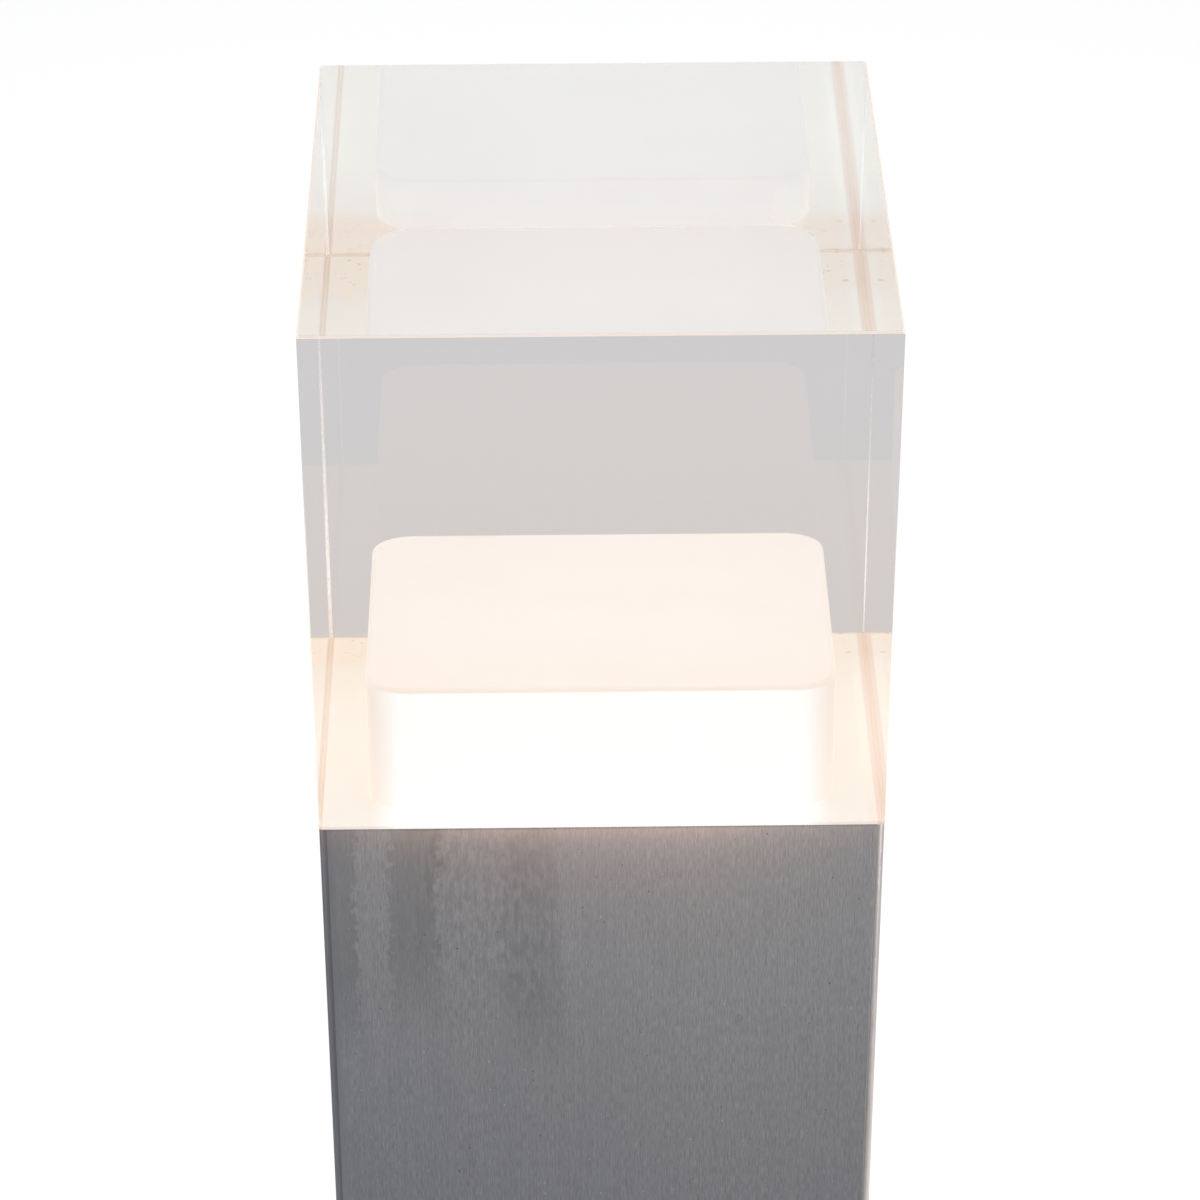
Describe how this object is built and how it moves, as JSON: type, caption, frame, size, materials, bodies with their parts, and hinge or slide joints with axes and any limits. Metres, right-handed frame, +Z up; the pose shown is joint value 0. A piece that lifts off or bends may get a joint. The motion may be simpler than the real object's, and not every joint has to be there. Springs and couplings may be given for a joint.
{
  "type": "bollard light",
  "caption": "Square brushed-steel path bollard whose head is a solid clear acrylic block, lit from below by a glowing opal diffuser set into it.",
  "frame": {"origin": "centre of the ground plate's underside, which is the centre of the object's lowest plane", "axes": "+Z up along the post, -Y towards the front, +X to the right seen from the front; the gear tray is towards +Y"},
  "size_m": [0.13, 0.13, 0.8],
  "materials": {
    "brushed_post": "vertically brushed stainless steel with faint mottling",
    "base_steel": "plain stainless sheet with a dull mill finish",
    "screw_steel": "bright stainless fasteners",
    "cast_aluminium": "satin, slightly grainy casting",
    "tray_aluminium": "plain folded sheet",
    "clear_acrylic": "clear, polished solid acrylic",
    "opal_acrylic": "opal white acrylic, glowing warm when lit",
    "silicone": "translucent white silicone",
    "black_rubber": "matt moulded rubber",
    "board": "white solder mask on an aluminium board",
    "led_phosphor": "yellow phosphor under clear resin",
    "white_plastic": "fine moulded texture",
    "grey_plastic": "fine moulded texture",
    "brown_insulation": "smooth PVC insulation",
    "blue_insulation": "smooth PVC insulation",
    "green_insulation": "smooth PVC insulation with a yellow stripe",
    "red_insulation": "smooth silicone insulation",
    "black_insulation": "smooth silicone insulation"
  },
  "bodies": {
    "base": {"base_plate": "base_steel", "base_channel": "base_steel", "entry_grommet": "black_rubber", "channel_screw_1": "screw_steel", "channel_screw_2": "screw_steel", "channel_screw_3": "screw_steel", "channel_screw_4": "screw_steel"},
    "post": {"post_tube": "brushed_post", "clamp_strip_left": "base_steel", "clamp_strip_right": "base_steel", "weld_nut_left": "screw_steel", "weld_nut_right": "screw_steel", "head_grub_screw_left": "screw_steel", "head_grub_screw_right": "screw_steel", "base_grub_screw_1": "screw_steel", "base_grub_screw_2": "screw_steel", "base_grub_screw_3": "screw_steel", "base_grub_screw_4": "screw_steel"},
    "head": {"acrylic_block": "clear_acrylic", "opal_diffuser": "opal_acrylic", "block_seal": "silicone", "head_carrier": "cast_aluminium", "heat_sink": "cast_aluminium", "led_board": "board", "board_connector": "white_plastic", "board_screw_1": "screw_steel", "board_screw_2": "screw_steel", "board_screw_3": "screw_steel", "board_screw_4": "screw_steel", "cable_saddle": "white_plastic", "driver_screw_1": "screw_steel", "driver_screw_2": "screw_steel", "earth_lug": "screw_steel", "earth_screw": "screw_steel", "earth_wire": "green_insulation", "gear_tray": "tray_aluminium", "lead_grommet": "black_rubber", "led_1": "led_phosphor", "led_2": "led_phosphor", "led_3": "led_phosphor", "led_4": "led_phosphor", "led_5": "led_phosphor", "led_6": "led_phosphor", "led_7": "led_phosphor", "led_8": "led_phosphor", "led_9": "led_phosphor", "led_driver": "white_plastic", "led_wire_minus": "black_insulation", "led_wire_plus": "red_insulation", "saddle_screw_1": "screw_steel", "saddle_screw_2": "screw_steel", "supply_wire_live": "brown_insulation", "supply_wire_neutral": "blue_insulation", "terminal_block": "grey_plastic", "terminal_screw_1": "screw_steel", "terminal_screw_2": "screw_steel", "terminal_screw_3": "screw_steel", "tray_screw_1": "screw_steel", "tray_screw_2": "screw_steel"}
  },
  "joints": [
    {"name": "post_lift", "type": "slide", "parent": "base", "child": "post", "axis": [0, 0, 1], "range_m": [0, 0.1]},
    {"name": "head_lift", "type": "slide", "parent": "post", "child": "head", "axis": [0, 0, 1], "range_m": [0, 0.22]}
  ]
}
